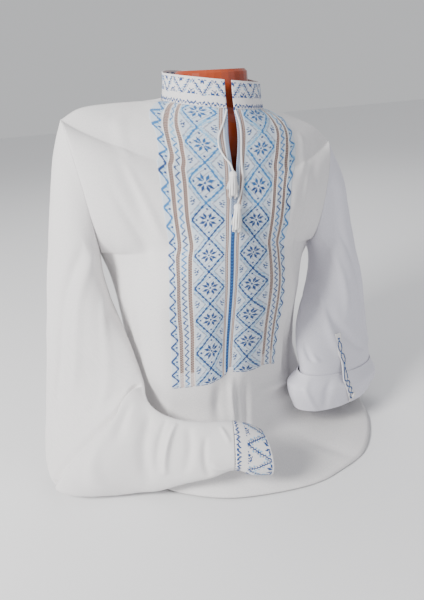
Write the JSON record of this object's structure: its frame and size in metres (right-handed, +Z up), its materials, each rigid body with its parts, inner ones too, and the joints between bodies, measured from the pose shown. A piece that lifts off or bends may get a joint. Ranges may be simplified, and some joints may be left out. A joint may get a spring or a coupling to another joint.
{
  "type": "embroidered folk shirt on dress form",
  "caption": "White linen folk shirt with a stitched front, stand collar, tasselled tie cords, one long cuffed sleeve and one rolled sleeve, worn by a limbless dress form.",
  "frame": {"origin": "centre of the dress form's flat base, on the table", "axes": "+Z up, -Y out of the shirt's front, so the wearer's right is at -X"},
  "size_m": [0.6181, 0.4578, 0.6035],
  "materials": {
    "form": "polished",
    "linen": "plain weave",
    "stitched": "embroidered",
    "button": "satin",
    "cord": "twisted yarn"
  },
  "bodies": {
    "root": {"dress_form": "form", "front": "linen", "back": "linen", "sleeve_right": "linen", "cuff_right": "stitched", "sleeve_left": "linen", "sleeve_left_roll": "linen", "tab_left": "stitched", "button_left": "button", "collar": "stitched", "cord_right": "cord", "cord_left": "cord", "tassel_upper": "cord", "tassel_lower": "cord"}
  },
  "joints": []
}
